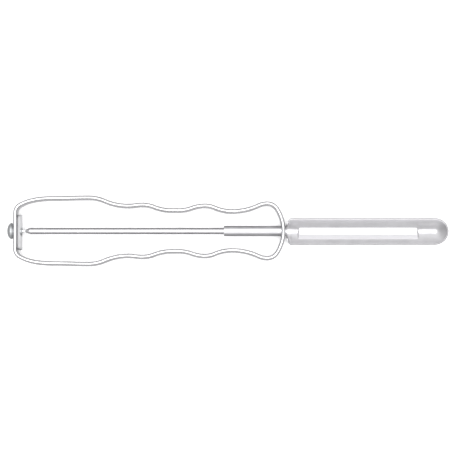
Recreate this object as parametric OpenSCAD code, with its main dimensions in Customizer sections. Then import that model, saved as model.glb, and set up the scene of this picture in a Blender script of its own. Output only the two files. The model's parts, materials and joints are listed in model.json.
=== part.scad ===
// Swivel vegetable peeler: a looped flat-wire handle, a pivot rod held by a rivet at the
// rear of the loop, and a slotted trough blade whose rolled tang turns in the nose of the loop.
// The rod lies along X with the blade tip at +X, and the handle stands on its lower edge at z = 0.

/* [Handle] */
// Length of the loop over its outer faces
handle_length = 120.45; // [120:0.05:124]
// Greatest width of the loop over its outer faces
handle_width = 31.2; // [30.6:0.1:32.4]
// Thickness of the flat wire, seen as the line of the loop
band_thickness = 1.9; // [1.6:0.1:2.2]
// Width of the flat wire, which is the height of the handle as it lies
band_width = 9; // [8:0.5:11]
// Rounding of the flat wire's four edges
band_edge_radius = 0.6; // [0.3:0.1:0.7]
// Half the length of the straight stretch at the rear
rear_half_length = 8; // [7.9:0.1:8.4]

/* [Rear bracket] */
// Length of the channel across the rear of the loop
bracket_length = 15.2; // [12:0.1:15.4]
// How far the channel sits off the middle
bracket_offset = -0.6; // [-0.8:0.1:0.8]
// Angle by which its flanges lean in towards the rod
bracket_toe_in = 22; // [0:1:26]
// Reach of its upper flange into the loop, over the web
bracket_reach = 2.3; // [2.2:0.1:3]
// How much shorter its lower flange is
lower_flange_cut = 0.6; // [0:0.1:0.6]
// Its sheet thickness
bracket_sheet = 0.8; // [0.6:0.1:1]
// Width of the notch in the free edge of each flange
notch_width = 4.4; // [3.4:0.1:5]
// Depth of that notch
notch_depth = 1.2; // [0.6:0.1:1.3]

/* [Rivet] */
// Diameter of the domed head outside the loop
rivet_head_d = 7.1; // [6.5:0.1:7.5]
// Height of the head, its dome and its tapered neck together
rivet_head_h = 2.8; // [2.4:0.1:3]
// Diameter of the hollow shank
rivet_shank_d = 3.5; // [3.4:0.1:3.8]
// Diameter of the mouth rolled over inside the loop
rivet_mouth_d = 4.4; // [4.2:0.1:4.8]

/* [Rod and tang] */
// Diameter of the pivot rod
rod_d = 2.9; // [2.7:0.1:3.1]
// Outer diameter of the tang rolled around the rod
tang_d = 4.6; // [4.4:0.1:4.9]
// Length of the tang from its rear end to the blade's root
tang_length = 27.6; // [20:0.1:50]
// Clearance all round at each pivot
pivot_gap = 0.08; // [0.03:0.01:0.1]

/* [Blade] */
// Length of the trough from its root to its tip
blade_length = 71.8; // [60:0.1:80]
// Width of the trough over its rims
blade_width = 11.9; // [11:0.1:13]
// Depth of the trough from its rims to its underside
blade_depth = 4.4; // [4:0.1:5]
// Length of the slot
slot_length = 52.6; // [40:0.1:54]
// Width of the slot
slot_width = 3.3; // [2.6:0.1:3.6]
// Width of the ground bevel beside the slot, measured across the blade
bevel_width = 2.45; // [1.5:0.05:2.7]
// Radius of the trough's floor, outside
floor_radius = 3.55; // [3.2:0.05:4.2]
// How far the blade is turned on the rod as it lies
blade_roll = 10; // [0:1:20]

/* [Hidden] */
$fn = 64;
eps = 0.01;
// How far each cutter runs past what it cuts
overshoot = 1;

polished_steel = [0.86, 0.87, 0.88];
dull_steel = [0.62, 0.64, 0.65];
blade_steel = [0.80, 0.81, 0.82];

// Places along the rod are measured from the crown of the rivet's head.
rear_outer_x = rivet_head_h;
rear_inner_x = rear_outer_x + band_thickness;
rear_mid_x = rear_outer_x + band_thickness / 2;
nose_outer_x = rear_outer_x + handle_length;
nose_mid_x = nose_outer_x - band_thickness / 2;
root_gap = 0.35;
root_x = nose_outer_x + root_gap;
tip_x = root_x + blade_length;
axis_z = band_width / 2;

// Turning points of the finger waves: [x, y, share] of each crest and valley on the wire's middle
// line. Two arcs lead to each, and share is the first one's part of their two radii together.
crest_y = handle_width / 2 - band_thickness / 2;
waves = [
    [36.3, crest_y, 0.5],
    [53.6, crest_y - 3.62, 0.4],
    [60.0, crest_y - 3.13, 0.5],
    [72.8, crest_y - 5.61, 0.4],
    [76.0, crest_y - 5.61, 0.5],
    [87.6, crest_y - 3.53, 0.5],
    [99.6, crest_y - 6.03, 0.35],
    [115.2, crest_y - 2.57, 0.75]
];

// The band's middle line is a chain of [radius, turn] arcs and [length, 0] straights.
function step_pose(p, s) =
    s[1] == 0
        ? [p[0] + s[0] * cos(p[2]), p[1] + s[0] * sin(p[2]), p[2]]
        : let (r = sign(s[1]) * s[0], h = p[2] + s[1])
          [p[0] + r * (sin(h) - sin(p[2])), p[1] - r * (cos(h) - cos(p[2])), h];

function pose(start, path, i) = i == 0 ? start : step_pose(pose(start, path, i - 1), path[i - 1]);

// Two arcs that join two parallel headings, dx along and dy across, or a straight where dy is 0.
function wave_step(dx, dy, share) =
    dy == 0
        ? [[dx, 0]]
        : let (turn = sign(dy) * 2 * atan(abs(dy) / dx), r = (dx * dx + dy * dy) / (2 * abs(dy)))
          [[share * r, turn], [(1 - share) * r, -turn]];

rear_start = [rear_mid_x, 0, 90];
rear_corner = [[rear_half_length, 0], [4, -62], [21.6, -19], [48.6, -9]];
corner_end = pose(rear_start, rear_corner, len(rear_corner));
turning_points = concat([[corner_end[0], corner_end[1]]], waves);
wave_path = [
    for (i = [1 : len(turning_points) - 1])
        each wave_step(
            turning_points[i][0] - turning_points[i - 1][0],
            turning_points[i][1] - turning_points[i - 1][1],
            turning_points[i][2]
        )
];

// The shoulder and the nose are two arcs that meet at this heading.
nose_turn = 58;
last_wave = waves[len(waves) - 1];
nose_rest = 1 - sin(nose_turn);
shoulder_radius =
    (nose_mid_x - last_wave[0] - nose_rest * last_wave[1] / cos(nose_turn))
    / (sin(nose_turn) - nose_rest * (1 - cos(nose_turn)) / cos(nose_turn));
nose_radius = (last_wave[1] - shoulder_radius * (1 - cos(nose_turn))) / cos(nose_turn);
nose_path = [[shoulder_radius, -nose_turn], [nose_radius, nose_turn - 90]];
half_path = concat(rear_corner, wave_path, nose_path);

// Stations [x, y, heading] along one half, one for every few degrees of turn
station_turn = 6;
half_stations = [
    for (i = [0 : len(half_path) - 1])
        let (s = half_path[i], n = max(1, ceil(abs(s[1]) / station_turn)))
        for (k = [0 : n - 1])
            k == 0
                ? pose(rear_start, half_path, i)
                : step_pose(pose(rear_start, half_path, i), [s[0], s[1] * k / n])
];
nose_station = [nose_mid_x, 0, -90];
stations = concat(
    half_stations,
    [nose_station],
    [
        for (i = [len(half_stations) - 1 : -1 : 1])
            let (p = half_stations[i])
            [p[0], -p[1], 180 - p[2]]
    ]
);
band_section = [
    for (corner = [0 : 3], k = [0 : 2])
        let (
            a = 90 * corner + 45 * k,
            sx = corner == 0 || corner == 3 ? 1 : -1,
            sy = corner < 2 ? 1 : -1
        )
        [
            sx * (band_thickness / 2 - band_edge_radius) + band_edge_radius * cos(a),
            sy * (band_width / 2 - band_edge_radius) + band_edge_radius * sin(a)
        ]
];

// Bracket: the channel's section is [into the loop, up], and the bends are arcs of the same sweep.
bracket_inset = 0.3;
bracket_half_height = band_width / 2 - bracket_inset;
bend_radius = 1;
bend_steps = 6;
bend_sweep = 90 + bracket_toe_in;
bend_end_x = bend_radius + bend_radius * cos(180 - bend_sweep);
notch_radius = (notch_width * notch_width / 4 + notch_depth * notch_depth) / (2 * notch_depth);

function bend_point(r, turn) =
    [bend_radius + r * cos(180 - turn), bracket_half_height - bend_radius + r * sin(180 - turn)];

// From the web's outer face round the bend and the flange's free edge, and back to its inner face
function half_channel(reach) =
    let (
        inner_r = bend_radius - bracket_sheet,
        flange = (reach - bend_end_x) / cos(bracket_toe_in) * [cos(bracket_toe_in), -sin(bracket_toe_in)]
    )
    concat(
        [for (k = [0 : bend_steps]) bend_point(bend_radius, bend_sweep * k / bend_steps)],
        [bend_point(bend_radius, bend_sweep) + flange, bend_point(inner_r, bend_sweep) + flange],
        [for (k = [bend_steps : -1 : 0]) bend_point(inner_r, bend_sweep * k / bend_steps)]
    );

upper_half = half_channel(bracket_reach);
lower_half = half_channel(bracket_reach - lower_flange_cut);
bracket_section = concat(
    upper_half,
    [for (k = [len(lower_half) - 1 : -1 : 0]) [lower_half[k][0], -lower_half[k][1]]]
);

// Rivet and rod: the rod's button sits in the hollow shank, behind the lip of the rolled mouth.
rivet_neck_h = 0.9;
rivet_neck_d = 6;
web_x = rear_inner_x + bracket_sheet;
mouth_x = web_x + 1.2;
mouth_taper = 0.5;
bore_d = 2.3;
bore_bottom_x = rear_outer_x + 0.75;
lip_length = 0.9;
rod_neck_d = 1.4;
neck_reach = 0.1;
rod_waist_d = 0.9;
rod_waist_x = web_x + 2.5;
rod_full_x = web_x + 4.6;
button_length = 1.5;
button_end_play = 0.15;
button_end_x = mouth_x - lip_length - button_end_play;
button_x = button_end_x - button_length;

// Blade: the trough's outside is a floor arc and two flatter wall arcs, tangent at floor_tilt. Its
// lowest point is level with the underside of the tang.
sheet = (tang_d - rod_d) / 2;
underside_z = -tang_d / 2;
rim_z = underside_z + blade_depth;
half_blade = blade_width / 2;
floor_tilt = 30;
floor_centre_z = underside_z + floor_radius;
wall_start = [floor_radius * sin(floor_tilt), floor_centre_z - floor_radius * cos(floor_tilt)];
wall_chord = [half_blade, rim_z] - wall_start;
wall_turn = 2 * (atan(wall_chord[1] / wall_chord[0]) - floor_tilt);
wall_radius = norm(wall_chord) / (2 * sin(wall_turn / 2));
wall_centre = wall_start + wall_radius * [-sin(floor_tilt), cos(floor_tilt)];
arc_steps = 6;
root_length = 3;
tang_overlap = 0.1;
slot_start = 5.6;
slot_x = root_x + slot_start;
tip_centre_x = tip_x - half_blade;
// [distance from the root's rear face, radius] of the round sections that the root flares through
root_rounds = [[0, 2.95], [1.1, 5.2]];
// Thickness left at the ground edge of the bevel
bevel_edge = 0.06;

// The +Y half of the trough's outline, wall inside its outer face, from the middle of its floor up to
// its rim and back to the middle plane
function trough_half(wall) =
    let (
        floor_arc = [
            for (k = [0 : arc_steps])
                let (a = floor_tilt * k / arc_steps)
                [0, floor_centre_z] + (floor_radius - wall) * [sin(a), -cos(a)]
        ],
        wall_arc = [
            for (k = [1 : arc_steps])
                let (a = floor_tilt + wall_turn * k / arc_steps)
                wall_centre + (wall_radius - wall) * [sin(a), -cos(a)]
        ]
    )
    concat(floor_arc, wall_arc, [[0, wall_arc[arc_steps - 1][1]]]);

function trough_outline(wall) =
    let (half = trough_half(wall))
    concat(half, [for (k = [len(half) - 2 : -1 : 1]) [-half[k][0], half[k][1]]]);

// Height of the outer face of the floor, or of the inner face of the wall, that far from the middle
function floor_z(y) = floor_centre_z - sqrt(floor_radius * floor_radius - y * y);
function inner_wall_z(y) =
    wall_centre[1] - sqrt((wall_radius - sheet) ^ 2 - (y - wall_centre[0]) ^ 2);

module place() {
    translate([-tip_x / 2, 0, axis_z])
        children();
}

module along_x() {
    rotate([90, 0, 90])
        children();
}

// A cylinder along X from x0 to x1, or a cone where two diameters are given
module rod_piece(x0, x1, d0, d1) {
    translate([x0, 0, 0])
        rotate([0, 90, 0])
            cylinder(h = x1 - x0, d1 = d0, d2 = d1);
}

// The loop as one closed sweep of the flat wire's section along its stations
module band_loop() {
    m = len(band_section);
    n = len(stations);
    points = [
        for (p = stations, q = band_section)
            [p[0] - q[0] * sin(p[2]), p[1] + q[0] * cos(p[2]), q[1]]
    ];
    faces = [
        for (i = [0 : n - 1], j = [0 : m - 1])
            let (ahead = (i + 1) % n, up = (j + 1) % m)
            [i * m + j, ahead * m + j, ahead * m + up, i * m + up]
    ];
    polyhedron(points, faces);
}

module handle_band() {
    color(polished_steel)
        place()
            difference() {
                band_loop();
                rod_piece(0, rear_inner_x + overshoot, rivet_shank_d, rivet_shank_d);
                rod_piece(
                    nose_outer_x - 2 * band_thickness,
                    nose_outer_x + overshoot,
                    tang_d + 2 * pivot_gap,
                    tang_d + 2 * pivot_gap
                );
            }
}

module rear_bracket() {
    color(polished_steel)
        place()
            difference() {
                translate([rear_inner_x, bracket_offset, 0])
                    rotate([90, 0, 0])
                        linear_extrude(bracket_length, center = true)
                            polygon(bracket_section);
                translate([rear_inner_x + bracket_reach - notch_depth + notch_radius, bracket_offset, 0])
                    cylinder(h = 2 * band_width, r = notch_radius, center = true);
                rod_piece(rear_inner_x - overshoot, web_x + overshoot, rivet_shank_d, rivet_shank_d);
            }
}

module rear_rivet() {
    dome_h = rivet_head_h - rivet_neck_h;
    dome_r = (rivet_head_d * rivet_head_d / 4 + dome_h * dome_h) / (2 * dome_h);
    mouth_bore_d = rod_neck_d + 2 * pivot_gap;
    color(dull_steel)
        place()
            difference() {
                union() {
                    intersection() {
                        translate([dome_r, 0, 0])
                            sphere(dome_r);
                        rod_piece(-overshoot, dome_h, 2 * rivet_head_d, 2 * rivet_head_d);
                    }
                    rod_piece(dome_h, rivet_head_h, rivet_head_d, rivet_neck_d);
                    rod_piece(dome_h, mouth_x, rivet_shank_d, rivet_shank_d);
                    rod_piece(web_x, mouth_x, rivet_mouth_d, rivet_mouth_d - mouth_taper);
                }
                rod_piece(bore_bottom_x, mouth_x - lip_length, bore_d, bore_d);
                rod_piece(mouth_x - lip_length - eps, mouth_x + overshoot, mouth_bore_d, mouth_bore_d);
            }
}

module pivot_rod() {
    button_d = bore_d - 2 * pivot_gap;
    neck_end_x = mouth_x + neck_reach;
    color(polished_steel)
        place() {
            rod_piece(button_x, button_end_x, button_d, button_d);
            rod_piece(button_x, neck_end_x, rod_neck_d, rod_neck_d);
            rod_piece(neck_end_x, rod_waist_x, rod_neck_d, rod_waist_d);
            rod_piece(rod_waist_x, rod_full_x, rod_waist_d, rod_d);
            rod_piece(rod_full_x, nose_outer_x, rod_d, rod_d);
        }
}

// A slice of the root: a circle that touches the underside line, cut off level at height top
module root_round(r, wall, top) {
    intersection() {
        translate([0, underside_z + r])
            circle(r - wall, $fn = 48);
        translate([-r, underside_z])
            square([2 * r, top - underside_z]);
    }
}

module root_solid(wall, top) {
    hull() {
        for (s = root_rounds)
            translate([root_x + s[0], 0, 0])
                along_x()
                    linear_extrude(eps)
                        root_round(s[1], wall, top);
        translate([root_x + root_length, 0, 0])
            along_x()
                linear_extrude(eps)
                    polygon(trough_outline(wall));
    }
}

module trough_solid(wall) {
    translate([root_x + root_length, 0, 0])
        along_x()
            linear_extrude(tip_centre_x - root_x - root_length)
                polygon(trough_outline(wall));
    translate([tip_centre_x, 0, 0])
        rotate([0, 0, -90])
            rotate_extrude(angle = 180)
                polygon(trough_half(wall));
}

// The bevel's plane runs from the inside of the wall down to the slot's edge on the underside.
module bevel_cutter() {
    outer_y = slot_width / 2;
    inner_y = outer_y + bevel_width;
    edge_z = floor_z(outer_y) + bevel_edge;
    translate([slot_x, 0, 0])
        along_x()
            linear_extrude(slot_length)
                polygon([[-inner_y, inner_wall_z(inner_y)], [-outer_y, edge_z], [0, edge_z], [0, rim_z]]);
}

module blade() {
    color(blade_steel)
        place()
            rotate([blade_roll, 0, 0])
                difference() {
                    union() {
                        difference() {
                            trough_solid(0);
                            trough_solid(sheet);
                        }
                        difference() {
                            root_solid(0, rim_z);
                            root_solid(sheet, rim_z + overshoot);
                        }
                        difference() {
                            rod_piece(root_x - tang_length, root_x + tang_overlap, tang_d, tang_d);
                            rod_piece(root_x - tang_length - overshoot, root_x + overshoot, rod_d, rod_d);
                        }
                    }
                    translate([slot_x, -slot_width / 2, -blade_depth])
                        cube([slot_length, slot_width, 2 * blade_depth]);
                    bevel_cutter();
                }
}

handle_band();
rear_bracket();
rear_rivet();
pivot_rod();
blade();
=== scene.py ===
"""Swivel vegetable peeler: a looped flat-wire handle, a riveted bracket, a rod and a slotted blade.

Lengths are in millimetres until at() turns them into metres. Places along the rod are measured
from the crown of the rivet's head, and heights from the rod's centre line.
"""
import json
import math

import bmesh
import bpy
import numpy as np
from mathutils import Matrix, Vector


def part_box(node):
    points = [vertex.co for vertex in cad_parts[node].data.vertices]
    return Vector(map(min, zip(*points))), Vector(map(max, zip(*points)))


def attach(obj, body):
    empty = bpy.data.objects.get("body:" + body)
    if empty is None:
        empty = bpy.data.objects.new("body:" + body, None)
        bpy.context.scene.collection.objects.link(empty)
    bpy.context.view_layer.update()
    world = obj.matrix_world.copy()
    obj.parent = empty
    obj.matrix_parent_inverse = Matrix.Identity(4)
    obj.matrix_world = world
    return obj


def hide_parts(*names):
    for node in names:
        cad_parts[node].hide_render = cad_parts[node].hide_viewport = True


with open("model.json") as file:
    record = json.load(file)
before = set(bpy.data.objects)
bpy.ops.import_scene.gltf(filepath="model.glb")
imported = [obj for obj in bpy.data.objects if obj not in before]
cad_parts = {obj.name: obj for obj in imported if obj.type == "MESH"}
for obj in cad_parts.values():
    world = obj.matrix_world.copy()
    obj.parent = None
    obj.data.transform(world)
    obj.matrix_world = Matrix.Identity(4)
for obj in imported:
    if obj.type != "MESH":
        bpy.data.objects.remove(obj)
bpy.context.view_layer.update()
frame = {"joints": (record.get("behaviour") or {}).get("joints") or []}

MM = 0.001
AXIS_Z = frame["joints"][0]["pos_m"][2]
CROWN_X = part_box("rear_rivet")[0].x


def at(points):
    """Millimetres from the rivet's crown and the rod's axis to metres in the row frame."""
    return np.asarray(points, float) * MM + np.array([CROWN_X, 0.0, AXIS_Z])


# ---------------------------------------------------------------- sizes
# They are the CAD's, but for BAND_CROWN and SHANK_HOLE_R, which only this scene has
BAND_THICK = 1.9
BAND_WIDTH = 9.0
BAND_CROWN = 1.6
REAR_OUTER_X = 2.8
REAR_INNER_X = REAR_OUTER_X + BAND_THICK
NOSE_OUTER_X = 123.25
NOSE_MID_X = NOSE_OUTER_X - BAND_THICK / 2
CREST_Y = 14.65
ROD_R = 1.45
TANG_R = 2.3
TANG_START = 96.0
PIVOT_GAP = 0.08
TIP_X = 195.4
SHEET = 0.85
RIM_Z = 2.1
HALF_BLADE = 5.95
SLOT_X0 = 129.2
SLOT_X1 = 181.8
SLOT_HALF = 1.65
ROLL = math.radians(10)
SHANK_R = 1.75
SHANK_HOLE_R = SHANK_R + 0.01


# ---------------------------------------------------------------- mesh helpers
def mesh_object(name, verts, faces, smooth_angle=35.0, grain=None, finish_and_painted_light=None):
    """A smooth-shaded object with two attributes for its metal.

    grain holds metres along and across the metal's draw. The second attribute runs from 0 to 1, and is 1
    where the metal was ground or turned afterwards, and where painted shade or a painted highlight goes
    into its colour.
    """
    mesh = bpy.data.meshes.new(name)
    mesh.from_pydata([tuple(v) for v in verts], [], [tuple(f) for f in faces])
    if grain is not None:
        layer = mesh.attributes.new("grain", "FLOAT_VECTOR", "POINT")
        layer.data.foreach_set("vector", np.asarray(grain, np.float32).ravel())
    if finish_and_painted_light is not None:
        layer = mesh.attributes.new("finish_and_painted_light", "FLOAT", "POINT")
        layer.data.foreach_set("value", np.asarray(finish_and_painted_light, np.float32))
    bm = bmesh.new()
    bm.from_mesh(mesh)
    bmesh.ops.remove_doubles(bm, verts=bm.verts, dist=1e-7)
    bmesh.ops.dissolve_degenerate(bm, dist=1e-7, edges=bm.edges)
    bmesh.ops.recalc_face_normals(bm, faces=bm.faces)
    bm.to_mesh(mesh)
    bm.free()
    mesh.shade_smooth()
    mesh.set_sharp_from_angle(angle=math.radians(smooth_angle))
    made = bpy.data.objects.new(name, mesh)
    bpy.context.scene.collection.objects.link(made)
    return made


def grid_faces(rows, columns, close_rows=False, close_columns=False):
    """Quads between the rows of a grid of vertices, joined end to end where a direction is closed."""
    faces = []
    for i in range(rows if close_rows else rows - 1):
        ahead = (i + 1) % rows
        for j in range(columns if close_columns else columns - 1):
            up = (j + 1) % columns
            faces.append((i * columns + j, ahead * columns + j, ahead * columns + up, i * columns + up))
    return faces


def fillet(points, radii, steps=6, closed=False):
    """A polyline with each corner replaced by an arc of its own radius."""
    pts = [np.array(p, float) for p in points]
    count = len(pts)
    out = []
    for i, p in enumerate(pts):
        r = radii[i] if hasattr(radii, "__len__") else radii
        if r <= 0 or (not closed and i in (0, count - 1)):
            out.append(p)
            continue
        a = pts[i - 1] - p
        b = pts[(i + 1) % count] - p
        la, lb = np.linalg.norm(a), np.linalg.norm(b)
        a, b = a / la, b / lb
        half = math.acos(max(-1.0, min(1.0, float(a @ b)))) / 2
        cut = min(r / math.tan(half), 0.49 * la, 0.49 * lb)
        r = cut * math.tan(half)
        centre = p + (a + b) / np.linalg.norm(a + b) * (r / math.sin(half))
        start = p + a * cut - centre
        end = p + b * cut - centre
        turn = math.acos(max(-1.0, min(1.0, float(start @ end) / (r * r))))
        for k in range(steps + 1):
            t = k / steps
            if turn < 1e-6:
                out.append(centre + start)
                continue
            swung = math.sin((1 - t) * turn) * start + math.sin(t * turn) * end
            out.append(centre + swung / math.sin(turn))
    return np.array(out)


def lathe(name, profile, segments=96, turned_to=-1.0):
    """A solid about the rod's axis from [x, radius] points, with a turned finish up to turned_to."""
    angles = np.linspace(0, 2 * math.pi, segments, endpoint=False)
    profile = np.asarray(profile, float)
    verts = []
    grain = []
    finish_and_painted_light = []
    for x, r in profile:
        for a in angles:
            verts.append((x, r * math.sin(a), r * math.cos(a)))
            grain.append((x * MM, math.sin(a) * 2 * MM, math.cos(a) * 2 * MM))
            finish_and_painted_light.append(1.0 if x < turned_to else 0.0)
    faces = grid_faces(len(profile), segments, False, True)
    return mesh_object(name, at(verts), faces, grain=grain, finish_and_painted_light=finish_and_painted_light)


def bored(target, cutter):
    """target with cutter's volume taken out."""
    cut = target.modifiers.new("bore", "BOOLEAN")
    cut.object = cutter
    cut.operation = "DIFFERENCE"
    cut.solver = "EXACT"
    bpy.context.view_layer.update()
    graph = bpy.context.evaluated_depsgraph_get()
    mesh = bpy.data.meshes.new_from_object(target.evaluated_get(graph))
    target.modifiers.clear()
    target.data = mesh
    mesh.shade_smooth()
    mesh.set_sharp_from_angle(angle=math.radians(35))
    bpy.data.objects.remove(cutter)
    return target


def shank_cutter(x0, x1):
    """What bores the hole for the rivet's shank from x0 to x1."""
    return lathe("shank_cutter", [(x0, 0), (x0, SHANK_HOLE_R), (x1, SHANK_HOLE_R), (x1, 0)], 64)


# ---------------------------------------------------------------- handle loop
def step_pose(pose, step, share=1.0):
    """The [x, y, heading] after a [length, 0] straight or a [radius, turn] arc, or part of one."""
    x, y, h = pose
    if step[1] == 0:
        d = step[0] * share
        return (x + d * math.cos(h), y + d * math.sin(h), h)
    turn = math.radians(step[1]) * share
    r = math.copysign(step[0], step[1])
    dx = r * (math.sin(h + turn) - math.sin(h))
    dy = r * (math.cos(h + turn) - math.cos(h))
    return (x + dx, y - dy, h + turn)


def wave_step(dx, dy, share):
    """Two arcs between parallel headings, dx along and dy across.

    share is the first arc's part of their two radii together.
    """
    if abs(dy) < 1e-9:
        return [(dx, 0)]
    turn = math.copysign(2 * math.degrees(math.atan(abs(dy) / dx)), dy)
    r = (dx * dx + dy * dy) / (2 * abs(dy))
    return [(share * r, turn), ((1 - share) * r, -turn)]


# Half of the loop from the middle of its rear: [length, 0] straights and [radius, turn] arcs, then
# the [x, y, share] places on the finger waves where the wire runs parallel to the rod
REAR_CORNER = [(8, 0), (4, -62), (21.6, -19), (48.6, -9)]
WAVES = [
    (36.3, CREST_Y, 0.5),
    (53.6, CREST_Y - 3.62, 0.4),
    (60.0, CREST_Y - 3.13, 0.5),
    (72.8, CREST_Y - 5.61, 0.4),
    (76.0, CREST_Y - 5.61, 0.5),
    (87.6, CREST_Y - 3.53, 0.5),
    (99.6, CREST_Y - 6.03, 0.35),
    (115.2, CREST_Y - 2.57, 0.75),
]
NOSE_TURN = 58.0
STATION_STEP = 0.9
STATION_TURN = 2.5


def half_loop():
    """Stations [x, y, heading] from the middle of the rear to the nose, on the +Y side."""
    start = (REAR_OUTER_X + BAND_THICK / 2, 0.0, math.pi / 2)
    path = list(REAR_CORNER)
    pose = start
    for step in path:
        pose = step_pose(pose, step)
    here = pose[:2]
    for x, y, share in WAVES:
        path += wave_step(x - here[0], y - here[1], share)
        here = (x, y)
    turn = math.radians(NOSE_TURN)
    rest = 1 - math.sin(turn)
    shoulder = (NOSE_MID_X - here[0] - rest * here[1] / math.cos(turn)) / (
        math.sin(turn) - rest * (1 - math.cos(turn)) / math.cos(turn)
    )
    nose = (here[1] - shoulder * (1 - math.cos(turn))) / math.cos(turn)
    path += [(shoulder, -NOSE_TURN), (nose, NOSE_TURN - 90)]
    stations = []
    pose = start
    for step in path:
        length = step[0] if step[1] == 0 else abs(step[0] * math.radians(step[1]))
        count = max(1, math.ceil(length / STATION_STEP), math.ceil(abs(step[1]) / STATION_TURN))
        stations += [step_pose(pose, step, k / count) for k in range(count)]
        pose = step_pose(pose, step)
    return stations + [(NOSE_MID_X, 0.0, -math.pi / 2)]


def band_section():
    """The flat wire's section, [across, up], with its two narrow sides rolled to half ellipses."""
    flat = BAND_WIDTH / 2 - BAND_CROWN
    points = []
    for end in (1, -1):
        for a in np.linspace(0, math.pi, 25):
            points.append((end * BAND_THICK / 2 * math.cos(a), end * (flat + BAND_CROWN * math.sin(a))))
    return np.array(points)


def handle_band():
    """The flat wire swept round the loop, with a flared bore in the nose and a plain one at the rear."""
    half = half_loop()
    stations = half + [(x, -y, math.pi - h) for x, y, h in reversed(half[1:-1])]
    section = band_section()
    along = [0.0]
    for a, b in zip(stations, stations[1:]):
        along.append(along[-1] + math.hypot(b[0] - a[0], b[1] - a[1]))
    verts = []
    grain = []
    for (x, y, h), s in zip(stations, along):
        for across, up in section:
            verts.append((x - across * math.sin(h), y + across * math.cos(h), up))
            grain.append((s * MM, across * MM, up * MM))
    faces = grid_faces(len(stations), len(section), True, True)
    band = mesh_object("handle_loop", at(verts), faces, 40, grain)
    bore = TANG_R + PIVOT_GAP
    face = NOSE_OUTER_X - BAND_THICK
    rear_end, rear_r = 110, 4
    front_end = NOSE_OUTER_X + 1
    bored(band, lathe("nose_cutter", [
        (rear_end, 0), (rear_end, rear_r), (face - 1.2, bore + 1.0), (face + 0.15, bore),
        (NOSE_OUTER_X - 0.2, bore), (front_end, bore + 1.2), (front_end, 0)]))
    bored(band, shank_cutter(0, REAR_INNER_X + 3))
    return band


# ---------------------------------------------------------------- bracket, rivet and rod
BRACKET_Y = -0.6
BRACKET_LENGTH = 15.2
BRACKET_REACH = 2.3
LOWER_FLANGE_CUT = 0.6
BRACKET_SHEET = 0.8
BRACKET_HALF = 4.2
BEND_RADIUS = 1.0
TOE_IN = 22.0
NOTCH_DEPTH = 1.2
NOTCH_WIDTH = 4.4
CAP_TRIM = 0.4
# [place across the loop, size] of the two weld beads, and the height and spread of a bead
WELDS = [(5.0, 1.0), (-5.3, 0.7)]
BEAD_HEIGHT = 0.16
BEAD_SPREAD = 0.30
# How far the painted shade reaches along the bends from their ends, and across them. It is near-black
# colour painted where shade falls between the bracket's ends and the loop.
PAINTED_SHADE_LENGTH = 0.9
PAINTED_SHADE_WIDTH = 0.8


def rear_bracket():
    """The channel across the rear of the loop, bent from one strip, with weld beads on its bends."""
    web = REAR_INNER_X
    edge = web + BRACKET_REACH
    inner = web + BRACKET_SHEET
    h, t = BRACKET_HALF, BRACKET_SHEET
    lean = math.radians(TOE_IN)
    corner = h - BEND_RADIUS + BEND_RADIUS * (1 / math.cos(lean) + math.tan(lean))
    hollow = corner - t / math.cos(lean) - t * math.tan(lean)

    def side(reach):
        tip = corner - reach * math.tan(lean)
        under = (web + reach - t * math.sin(lean), tip - t * math.cos(lean))
        return [(inner, hollow), under, (web + reach, tip), (web, corner)]

    lower = side(BRACKET_REACH - LOWER_FLANGE_CUT)
    outline = side(BRACKET_REACH) + [(x, -z) for x, z in reversed(lower)]
    radii = [BEND_RADIUS - t, 0.05, 0.05, BEND_RADIUS]
    section = fillet(outline, radii + radii[::-1], 7, closed=True)
    centre = section.mean(axis=0)
    half = BRACKET_LENGTH / 2
    ends = [(half, 0.12), (half - 0.05, 0.04), (half - 0.15, 0.0)]
    inside = np.linspace(half - CAP_TRIM, CAP_TRIM - half, 75)
    rows = [(y, c) for y, c in ends] + [(y, 0.0) for y in inside] + [(-y, c) for y, c in reversed(ends)]
    following = np.roll(section, -1, axis=0) - np.roll(section, 1, axis=0)
    normal = np.stack([following[:, 1], -following[:, 0]], axis=1)
    normal /= np.linalg.norm(normal, axis=1)[:, None]
    if ((section - centre) * normal).sum() < 0:
        normal = -normal
    verts = []
    grain = []
    painted_shade = []
    for y, inset in rows:
        for k, (p, n) in enumerate(zip(section, normal)):
            # painted shade: near-black colour at the ends of the bends beside the loop, fading along and
            # across them
            along, over = (half - abs(y)) / PAINTED_SHADE_LENGTH, (p[0] - web - 0.7) / PAINTED_SHADE_WIDTH
            painted_shade.append(math.exp(-along ** 2 - over ** 2))
            bead = 0.0
            for weld_y, size in WELDS:
                away = (y + BRACKET_Y - weld_y) ** 2 + (p[0] - web - 0.6) ** 2
                if p[1] > h - 0.9:
                    bead += BEAD_HEIGHT * size * math.exp(-away / BEAD_SPREAD)
            q = p - n * inset + n * bead
            verts.append((q[0], y + BRACKET_Y, q[1]))
            grain.append((y * MM, k * 0.2 * MM, 0.0))
    count = len(section)
    faces = grid_faces(len(rows), count, False, True)
    quarter = count // 4
    across = [((quarter - 1 - k) % count, quarter + k) for k in range(2 * quarter)]
    for first in (0, (len(rows) - 1) * count):
        for (a, b), (c, d) in zip(across, across[1:]):
            faces.append((first + a, first + b, first + d, first + c))
    bracket = mesh_object("rear_channel", at(verts), faces, 40, grain, painted_shade)
    radius = (NOTCH_WIDTH ** 2 / 4 + NOTCH_DEPTH ** 2) / (2 * NOTCH_DEPTH)
    ring = [(edge - NOTCH_DEPTH + radius + radius * math.cos(a), BRACKET_Y + radius * math.sin(a))
            for a in np.linspace(0, 2 * math.pi, 96, endpoint=False)]
    tall = [(x, y, z) for z in (-9.0, 9.0) for x, y in ring]
    sides = grid_faces(2, 96, False, True) + [tuple(range(96)), tuple(range(96, 192))]
    bored(bracket, mesh_object("notch_cutter", at(tall), sides))
    bored(bracket, shank_cutter(REAR_OUTER_X + 0.2, inner + 0.3))
    return bracket


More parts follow.
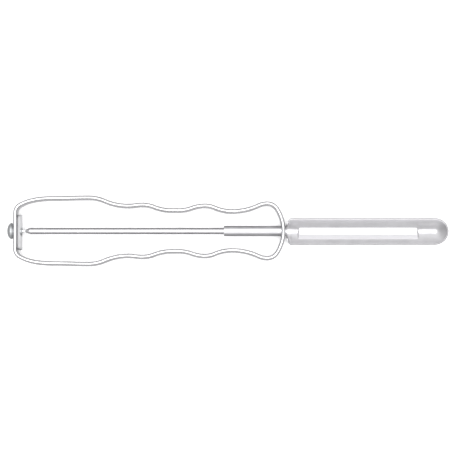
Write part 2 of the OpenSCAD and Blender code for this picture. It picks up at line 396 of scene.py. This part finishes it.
RIVET_MOUTH_X = 6.7
BORE_R = 1.15
BORE_BOTTOM_X = 3.55
LIP_X = 5.8
NECK_R = 0.7


def rear_rivet():
    """Domed head, undercut towards the loop, hollow shank and a mouth rolled over in the channel."""
    dome_h, head_r = 1.9, 3.55
    lip_r = NECK_R + PIVOT_GAP
    dome = [(dome_h * (1 - math.cos(a)), head_r * math.sin(a)) for a in np.linspace(0, math.pi / 2, 26)]
    web_face = REAR_INNER_X + BRACKET_SHEET
    rest = fillet(
        [dome[-1], (dome_h + 0.12, head_r), (REAR_OUTER_X, 3.0), (REAR_OUTER_X, SHANK_R),
         (web_face, SHANK_R), (web_face, 2.2), (RIVET_MOUTH_X, 1.95), (RIVET_MOUTH_X, lip_r),
         (LIP_X, lip_r), (LIP_X, BORE_R), (BORE_BOTTOM_X, BORE_R), (BORE_BOTTOM_X, 0)],
        [0, 0.15, 0.05, 0.02, 0.02, 0.3, 0.5, 0.15, 0.1, 0.05, 0.1, 0], 5)
    return lathe("rivet", list(dome) + list(rest[1:]), 96)


BUTTON_X0 = 4.15
BUTTON_X1 = 5.65
WAIST_X = 8.0
WAIST_R = 0.45
FULL_X = 10.1


def pivot_rod():
    """The rod, with a button held in the hollow rivet, a neck, a waist and a cone up to full size."""
    button_r = BORE_R - PIVOT_GAP
    neck_x = RIVET_MOUTH_X + 0.1
    profile = fillet(
        [(BUTTON_X0, 0), (BUTTON_X0, button_r), (BUTTON_X1, button_r), (BUTTON_X1, NECK_R),
         (neck_x, NECK_R), (WAIST_X, WAIST_R), (FULL_X, ROD_R), (NOSE_OUTER_X, ROD_R),
         (NOSE_OUTER_X, 0)],
        [0, 0.15, 0.15, 0.1, 0.3, 0.5, 0.6, 0.12, 0], 6)
    rear = [p for p in profile if p[0] < FULL_X + 0.2]
    straight = [np.array((x, ROD_R)) for x in np.arange(FULL_X + 0.3, NOSE_OUTER_X - 0.35, 1.0)]
    front = [p for p in profile if p[0] > NOSE_OUTER_X - 0.25]
    return lathe("rod", rear + straight + front, 72, turned_to=FULL_X + 0.1)


# ---------------------------------------------------------------- blade
FLOOR_RADIUS = 2.7
FLOOR_TILT = 30.0
RIM_ROUND = 0.5
SEAM_ROUND = 0.02
RIM_POWER = 0.5
MID = SHEET / 2
SLOT_CORNER = 0.7
BEVEL_END = 0.5
BEVEL_OUTER = 3.9
BEVEL_EDGE = 0.06
LIP_LIFT = 0.22
RIM_THINNING = 0.20
ROOT_START = NOSE_OUTER_X + 0.05
ROOT_LENGTH = 3.2
ROOT_OPENING_R = 5.8


def trough_curve():
    """The middle line of the trough's half section, [across, up, tilt] at even steps, floor to rim."""
    rim_y = HALF_BLADE - MID
    floor_r = FLOOR_RADIUS + MID
    a0 = math.radians(FLOOR_TILT)
    y0, z0 = floor_r * math.sin(a0), -TANG_R + MID + floor_r * (1 - math.cos(a0))
    rise, run = RIM_Z - 0.25 - z0, rim_y - y0
    chord = math.atan2(rise, run)
    a1 = 2 * chord - a0
    wall_r = math.hypot(rise, run) / (2 * math.sin((a1 - a0) / 2))
    length0, length1 = floor_r * a0, wall_r * (a1 - a0)
    out = []
    for s in np.linspace(0, length0 + length1, 241):
        if s < length0:
            a = s / floor_r
            y = floor_r * math.sin(a)
            z = -TANG_R + MID + floor_r * (1 - math.cos(a))
        else:
            a = a0 + (s - length0) / wall_r
            y = y0 + wall_r * (math.sin(a) - math.sin(a0))
            z = z0 - wall_r * (math.cos(a) - math.cos(a0))
        out.append((y, z, a))
    return np.array(out)


TROUGH = trough_curve()
STEPS = np.linspace(0, 1, len(TROUGH))


def trough_point(t):
    """[across, up, tilt] at the share t of the half section, with the sign of t giving the side."""
    side = -1.0 if t < 0 else 1.0
    y, z, a = (float(np.interp(abs(t), STEPS, TROUGH[:, k])) for k in range(3))
    return side * y, z, side * a


def share_at(across):
    """The share of the half section where its middle line is that far from the centre."""
    return float(np.interp(across, TROUGH[:, 0], STEPS))


def opening_point(t, curl):
    """The same for the ring that the tang's tube opens into. curl is one over the ring's radius."""
    full = 1 / (TANG_R - MID)
    spread = (full - curl) / full
    height = 2 * (TANG_R - MID) + spread * 0.5
    end = math.acos(max(-1.0, 1 - curl * height))
    end = min(end, math.pi - 0.014)
    a = t * end
    return math.sin(a) / curl, -TANG_R + MID + (1 - math.cos(a)) / curl, a


def blade_section(t, x):
    """[across, up, tilt] of the sheet's middle line at a place along the rod."""
    tube = 1 / (TANG_R - MID)
    wide = 1 / ROOT_OPENING_R
    place = np.clip((x - ROOT_START) / ROOT_LENGTH, 0, 1)
    curl = tube + (wide - tube) * (1 - (1 - place) ** 3.2)
    y0, z0, a0 = opening_point(t, curl)
    if place <= 0:
        return y0, z0, a0
    y1, z1, a1 = trough_point(t)
    m = place * place * (3 - 2 * place)
    return y0 + (y1 - y0) * m, z0 + (z1 - z0) * m, a0 + (a1 - a0) * m


def ramp(x, x0, x1, length):
    """0 outside x0 to x1 and 1 inside, over a short length at each end."""
    return float(np.clip((x - x0 + length) / length, 0, 1) * np.clip((x1 + length - x) / length, 0, 1))


def blade_rows():
    """Places along the rod of the rows of the blade's grid, closer where its shape changes."""
    near = [0.0, 0.04, 0.12, 0.25, 0.45, SLOT_CORNER]
    rows = [TANG_START, TANG_START + 0.06]
    rows += list(np.arange(TANG_START + 1.2, NOSE_OUTER_X - 0.2, 1.2))
    rows += list(ROOT_START + ROOT_LENGTH * np.linspace(0, 1, 26) ** 1.6)
    rows += list(np.arange(127.0, SLOT_X0 - 0.6, 0.6))
    rows += [SLOT_X0 - BEVEL_END, SLOT_X0 - BEVEL_END / 2]
    rows += [SLOT_X0 + d for d in near]
    rows += list(np.arange(SLOT_X0 + 1.6, SLOT_X1 - 1.2, 1.2))
    rows += [SLOT_X1 - d for d in reversed(near)]
    rows += [SLOT_X1 + BEVEL_END / 2, SLOT_X1 + BEVEL_END]
    centre = TIP_X - HALF_BLADE
    rows += list(np.linspace(SLOT_X1 + 1.0, centre, 9))
    return rows, centre


def blade():
    """Tang, root, trough and scooped tip as one sheet with a rolled tang, a slot and a ground lip."""
    rows, centre = blade_rows()
    slot_share = share_at(SLOT_HALF)
    lip_share = share_at(BEVEL_OUTER)
    zones = [(-1.0, -lip_share, 12), (-lip_share, -slot_share, 12), (-slot_share, slot_share, 12),
             (slot_share, lip_share, 12), (lip_share, 1.0, 12)]
    shares, zone_of = [], []
    for z, (a, b, n) in enumerate(zones):
        for k in range(n):
            shares.append(a + (b - a) * k / n)
            zone_of.append(z)
    shares.append(1.0)
    shares = np.array(shares)
    knots = [-1.0, -lip_share, -slot_share, slot_share, lip_share, 1.0]

    def moved(x):
        """The rows' shares with the slot's edge pulled in at its rounded corners."""
        d = min(max(min(x - SLOT_X0, SLOT_X1 - x), 0.0), SLOT_CORNER)
        pull = SLOT_CORNER - math.sqrt(max(0.0, SLOT_CORNER ** 2 - (SLOT_CORNER - d) ** 2))
        if x < SLOT_X0 - 2 or x > SLOT_X1 + 2:
            pull = 0.0
        e = share_at(SLOT_HALF - pull)
        return np.interp(shares, knots, [-1.0, -lip_share, -e, e, lip_share, 1.0])

    def layers(t, x):
        """Heights of the inner and outer faces over the middle line, along the sheet's normal."""
        on = ramp(x, SLOT_X0, SLOT_X1, BEVEL_END)
        past_nose = np.clip((x - NOSE_OUTER_X - 0.8) / 2, 0, 1)
        thin = float(past_nose * np.clip((abs(t) - lip_share) / (1 - lip_share), 0, 1))
        low, high = -MID, MID - RIM_THINNING * thin
        if t < 0:
            cut = np.clip((lip_share + t) / (lip_share - slot_share), 0, 1)
            high -= on * cut * (SHEET - BEVEL_EDGE)
        else:
            lift = np.clip((lip_share - t) / (lip_share - slot_share), 0, 1)
            low += on * lift * LIP_LIFT
            high += on * lift * LIP_LIFT
        return high, low

    inner, outer, grain = [], [], []
    sections = [(x, None) for x in rows] + [(centre, th) for th in np.linspace(0, math.pi / 2, 22)[1:]]
    for x, swing in sections:
        for t in moved(x):
            y, z, a = blade_section(t, x)
            high, low = layers(t, x)
            pair = []
            for d in (high, low):
                py, pz, px = y - d * math.sin(a), z + d * math.cos(a), x
                if swing is not None:
                    px, py = x + abs(py) * math.sin(swing), py * math.cos(swing)
                rolled_y = py * math.cos(ROLL) - pz * math.sin(ROLL)
                rolled_z = py * math.sin(ROLL) + pz * math.cos(ROLL)
                pair.append((px, rolled_y, rolled_z))
            inner.append(pair[0])
            outer.append(pair[1])
            grain.append((x * MM, t * 7.4 * MM, 0.0))
    inner, outer = np.array(inner), np.array(outer)
    n_rows, n_cols = len(sections), len(shares)
    verts = list(inner) + list(outer)
    shift = len(inner)
    finish_and_painted_light = [0.0] * (2 * shift)
    xs = [s[0] for s in sections]

    def gone(i, j):
        """Whether a quad is off the grid or in the slot."""
        if i < 0 or j < 0 or i >= n_rows - 1 or j >= n_cols - 1:
            return True
        return zone_of[j] == 2 and xs[i] >= SLOT_X0 - 1e-6 and xs[i + 1] <= SLOT_X1 + 1e-6

    faces = []
    for i in range(n_rows - 1):
        for j in range(n_cols - 1):
            if gone(i, j):
                continue
            a, b = i * n_cols + j, (i + 1) * n_cols + j
            c, d = b + 1, a + 1
            faces.append((a, b, c, d))
            faces.append((a + shift, d + shift, c + shift, b + shift))
            sides = [(gone(i - 1, j), a, d), (gone(i + 1, j) and i + 1 < n_rows - 1, c, b)]
            for open_side, p, q in sides:
                if open_side:
                    faces.append((p, q, q + shift, p + shift))
            if j > 0 and gone(i, j - 1):
                faces.append((b, a, a + shift, b + shift))
            if j + 1 < n_cols - 1 and gone(i, j + 1):
                faces.append((d, c, c + shift, d + shift))

    # rounded rims on both sides
    for j, beyond in ((0, 1), (n_cols - 1, n_cols - 2)):
        rings = []
        for i in range(n_rows):
            k = i * n_cols + j
            mid = (inner[k] + outer[k]) / 2
            up = (inner[k] - outer[k]) / 2
            back = (inner[i * n_cols + beyond] + outer[i * n_cols + beyond]) / 2
            out = mid - back
            out -= up * (out @ up) / (up @ up)
            out *= np.linalg.norm(up) / max(np.linalg.norm(out), 1e-9)
            opened = float(np.clip((xs[i] - NOSE_OUTER_X - 0.3) / 1.8, 0, 1))
            reach = SEAM_ROUND + (RIM_ROUND - SEAM_ROUND) * opened
            ring = [k]
            for psi in np.linspace(0, math.pi, 10)[1:-1]:
                ring.append(len(verts))
                side = math.copysign(abs(math.cos(psi)) ** RIM_POWER, math.cos(psi))
                verts.append(mid + up * side + out * (math.sin(psi) ** RIM_POWER * reach))
                grain.append((0, 0, 0))
            ring.append(k + shift)
            rings.append(ring)
        faces.append(tuple(rings[0]))
        for a, b in zip(rings, rings[1:]):
            for k in range(len(a) - 1):
                faces.append((a[k], b[k], b[k + 1], a[k + 1]))
    grain = grain[:shift] + grain[:shift] + grain[shift:]

    # the bevel is ground, and its lighter colour is partly its real ground finish and partly a painted
    # highlight; the slot's far end face is given that lighter colour as a painted highlight
    hair = 0.004
    for k in range(shift):
        x, t = xs[k // n_cols], shares[k % n_cols]
        beside_slot = -lip_share + hair < t < slot_share - hair
        finish_and_painted_light[k] = ramp(x, SLOT_X0, SLOT_X1, 0.15) if beside_slot else 0.0
        # painted highlight: the outer face at the slot's far end takes the bevel's lighter colour, so it
        # shows light where it would mirror dark
        finish_and_painted_light[k + shift] = 1.0 if abs(x - SLOT_X1) < 0.01 and abs(t) < slot_share - hair else 0.0
    finish_and_painted_light += [0.0] * (len(verts) - len(finish_and_painted_light))
    return mesh_object("swivel_blade", at(verts), faces, 32, grain, finish_and_painted_light)


# ---------------------------------------------------------------- materials
ROUGH_SWING = 0.10
COLOUR_SWING = 0.05
SCRATCHES = 0.25
BUMP_HEIGHT = 0.000004


def steel(name, colour, rough, draw, finish_and_painted_light=None):
    """Stainless steel with draw lines, cloudy polish and fine scattered scratches.

    draw is how fine its lines are along and across. The last argument is the colour and roughness where
    the mesh's finish mask is 1: a turned finish on the rod, painted shade on the bracket, and on the
    blade a ground bevel whose lighter colour is partly a painted highlight.
    """
    material = bpy.data.materials.new(name)
    material.use_nodes = True
    tree = material.node_tree
    nodes, links = tree.nodes, tree.links
    shader = nodes["Principled BSDF"]
    shader.inputs["Metallic"].default_value = 1.0
    grain = nodes.new("ShaderNodeAttribute")
    grain.attribute_name = "grain"

    def noise(scale, detail, stretch, vector=grain.outputs["Vector"]):
        mapping = nodes.new("ShaderNodeMapping")
        mapping.inputs["Scale"].default_value = stretch
        links.new(vector, mapping.inputs["Vector"])
        made = nodes.new("ShaderNodeTexNoise")
        made.inputs["Scale"].default_value = scale
        made.inputs["Detail"].default_value = detail
        links.new(mapping.outputs["Vector"], made.inputs["Vector"])
        return made.outputs["Fac"]

    def spread(value, low, high, to_low, to_high):
        made = nodes.new("ShaderNodeMapRange")
        made.inputs["From Min"].default_value = low
        made.inputs["From Max"].default_value = high
        made.inputs["To Min"].default_value = to_low
        made.inputs["To Max"].default_value = to_high
        links.new(value, made.inputs["Value"])
        return made.outputs["Result"]

    def maths(operation, a, b):
        made = nodes.new("ShaderNodeMath")
        made.operation = operation
        for k, value in enumerate((a, b)):
            if isinstance(value, (int, float)):
                made.inputs[k].default_value = value
            else:
                links.new(value, made.inputs[k])
        return made.outputs[0]

    place = nodes.new("ShaderNodeTexCoord").outputs["Object"]
    lines = noise(1.0, 3, draw)
    clouds = noise(260.0, 4, (1, 1, 1), place)
    scratch = noise(1.0, 2, (draw[0] * 0.25, draw[1] * 2.2, draw[2] * 2.2))
    scored = spread(scratch, 0.66, 0.78, 0.0, 1.0)

    base = nodes.new("ShaderNodeMix")
    base.data_type = "RGBA"
    base.inputs["A"].default_value = (*[c * (1 - COLOUR_SWING) for c in colour], 1)
    base.inputs["B"].default_value = (*[c * (1 + COLOUR_SWING) for c in colour], 1)
    links.new(spread(clouds, 0.3, 0.7, 0, 1), base.inputs["Factor"])
    surface = base.outputs["Result"]

    clouded = spread(clouds, 0.3, 0.7, rough * (1 - ROUGH_SWING), rough * (1 + ROUGH_SWING))
    roughness = maths("ADD", clouded, maths("MULTIPLY", scored, 0.12 * SCRATCHES))
    roughness = maths("ADD", roughness, spread(lines, 0.3, 0.7, -0.02, 0.04))
    if finish_and_painted_light:
        zone = nodes.new("ShaderNodeAttribute")
        zone.attribute_name = "finish_and_painted_light"
        strokes = noise(1.0, 2, (draw[1], draw[0], draw[0]))
        # the mask's colour: a real finish on the rod, painted shade on the bracket, and a lighter blade
        # colour that is partly a painted highlight
        finish_and_paint_mix = nodes.new("ShaderNodeMix")
        finish_and_paint_mix.data_type = "RGBA"
        finish_and_paint_mix.inputs["B"].default_value = (*finish_and_painted_light[0], 1)
        links.new(zone.outputs["Fac"], finish_and_paint_mix.inputs["Factor"])
        links.new(surface, finish_and_paint_mix.inputs["A"])
        surface = finish_and_paint_mix.outputs["Result"]
        brushed = spread(strokes, 0.3, 0.7, finish_and_painted_light[1] - 0.06, finish_and_painted_light[1] + 0.06)
        change = maths("MULTIPLY", zone.outputs["Fac"], maths("SUBTRACT", brushed, roughness))
        roughness = maths("ADD", roughness, change)
        turned = maths("MULTIPLY", zone.outputs["Fac"], maths("SUBTRACT", strokes, lines))
        lines = maths("ADD", lines, turned)
    links.new(surface, shader.inputs["Base Color"])
    links.new(roughness, shader.inputs["Roughness"])

    bump = nodes.new("ShaderNodeBump")
    bump.inputs["Strength"].default_value = 1.0
    bump.inputs["Distance"].default_value = BUMP_HEIGHT
    height = maths("ADD", spread(lines, 0.25, 0.75, 0, 1), maths("MULTIPLY", scored, -SCRATCHES))
    links.new(height, bump.inputs["Height"])
    links.new(bump.outputs["Normal"], shader.inputs["Normal"])
    return material


def dress(piece, material, body, node):
    """Gives a piece its material, the body it moves with and the CAD node it stands in for."""
    piece.data.materials.clear()
    piece.data.materials.append(material)
    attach(piece, body)
    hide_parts(node)


ALONG = (60, 9000, 9000)
# Painted shade: near-black colour for the ends of the bracket's bends, where shade falls beside the loop
BRACKET_END_PAINTED_SHADE = ((0.10, 0.10, 0.105), 0.45)
TURNED = ((0.80, 0.797, 0.81), 0.40)
# Partly the blade bevel's real ground finish and partly a painted highlight: the lighter colour paints
# in the bevel's bright look and the slot's far end face
GROUND_BEVEL_AND_PAINTED_LIGHT = ((0.83, 0.825, 0.84), 0.60)

wire = steel("drawn_wire", (0.68, 0.677, 0.685), 0.22, ALONG)
# the bracket's sheet carries the painted shade at the ends of its bends
sheet = steel("pressed_sheet", (0.49, 0.49, 0.495), 0.72, (250, 7000, 7000), BRACKET_END_PAINTED_SHADE)
rolled = steel("rolled_rivet", (0.465, 0.478, 0.483), 0.52, (3000, 900, 900))
bright = steel("bright_rod", (0.51, 0.507, 0.515), 0.15, ALONG, TURNED)
# the blade's bevel and the slot's far end face get the lighter colour, which is partly a painted
# highlight
strip = steel("blade_strip", (0.53, 0.526, 0.535), 0.38, (90, 8000, 8000), GROUND_BEVEL_AND_PAINTED_LIGHT)

dress(handle_band(), wire, "handle", "handle_band")
dress(rear_bracket(), sheet, "handle", "rear_bracket")
dress(rear_rivet(), rolled, "handle", "rear_rivet")
dress(pivot_rod(), bright, "swivel", "pivot_rod")
dress(blade(), strip, "swivel", "blade")


# ---------------------------------------------------------------- floor, light and camera
FLOOR_REACH = 3
FLOOR_COLOUR = (0.94, 0.94, 0.94, 1)
FLOOR_GLOW = 0.12

corners = [(-1, -1), (1, -1), (1, 1), (-1, 1)]
floor_mesh = bpy.data.meshes.new("floor")
floor_mesh.from_pydata([(x * FLOOR_REACH, y * FLOOR_REACH, 0) for x, y in corners], [], [(0, 1, 2, 3)])
floor = bpy.data.objects.new("floor", floor_mesh)
pale = bpy.data.materials.new("pale_floor")
pale.use_nodes = True
paint = pale.node_tree.nodes["Principled BSDF"]
paint.inputs["Base Color"].default_value = FLOOR_COLOUR
paint.inputs["Roughness"].default_value = 0.7
paint.inputs["Emission Color"].default_value = (1, 1, 1, 1)
paint.inputs["Emission Strength"].default_value = FLOOR_GLOW
floor_mesh.materials.append(pale)
bpy.context.scene.collection.objects.link(floor)
floor.visible_glossy = False

# One wide softbox straight above the part. A lamp with no rotation shines straight down.
LAMP_HEIGHT = 1.5
light = bpy.data.lights.new("overhead", "AREA")
light.shape = "RECTANGLE"
light.size = 1.7
light.size_y = 1.4
light.energy = 22
lamp = bpy.data.objects.new("overhead", light)
lamp.location = (0, 0, LAMP_HEIGHT)
bpy.context.scene.collection.objects.link(lamp)

# The studio's dome: pale overhead and greyest at the horizon, as [share of the way up, level] rows
DOME = [(0.0, 0.60), (0.28, 0.65), (0.42, 0.54), (0.50, 0.42), (0.60, 0.58), (0.75, 0.95), (1.0, 1.6)]
world = bpy.data.worlds.new("studio")
bpy.context.scene.world = world
world.use_nodes = True
sky = world.node_tree
direction = sky.nodes.new("ShaderNodeTexCoord")
split = sky.nodes.new("ShaderNodeSeparateXYZ")
sky.links.new(direction.outputs["Generated"], split.inputs["Vector"])
half = sky.nodes.new("ShaderNodeMath")
half.operation = "MULTIPLY_ADD"
half.inputs[1].default_value = 0.5
half.inputs[2].default_value = 0.5
sky.links.new(split.outputs["Z"], half.inputs[0])
dome = sky.nodes.new("ShaderNodeValToRGB")
sky.links.new(half.outputs[0], dome.inputs["Fac"])
while len(dome.color_ramp.elements) < len(DOME):
    dome.color_ramp.elements.new(0.5)
for element, (height, level) in zip(dome.color_ramp.elements, DOME):
    element.position = height
    element.color = (level, level * 0.998, level * 1.012, 1)
sky.links.new(dome.outputs["Color"], sky.nodes["Background"].inputs["Color"])
sky.nodes["Background"].inputs["Strength"].default_value = 1.0

CAMERA_HEIGHT = 1.2
VIEW_TILT = math.radians(2.5)
camera_data = bpy.data.cameras.new("camera")
camera_data.lens = 213.0
camera_data.sensor_width = 36.0
camera_data.clip_start = 0.05
camera_data.clip_end = 20.0
camera = bpy.data.objects.new("camera", camera_data)
aim_x, aim_y = 0.0001, 0.00152
back, up = CAMERA_HEIGHT * math.sin(VIEW_TILT), CAMERA_HEIGHT * math.cos(VIEW_TILT)
camera.location = (aim_x, aim_y - back, up)
camera.rotation_euler = (VIEW_TILT, 0, 0)
bpy.context.scene.collection.objects.link(camera)
bpy.context.scene.camera = camera
bpy.context.scene.view_settings.view_transform = "Standard"
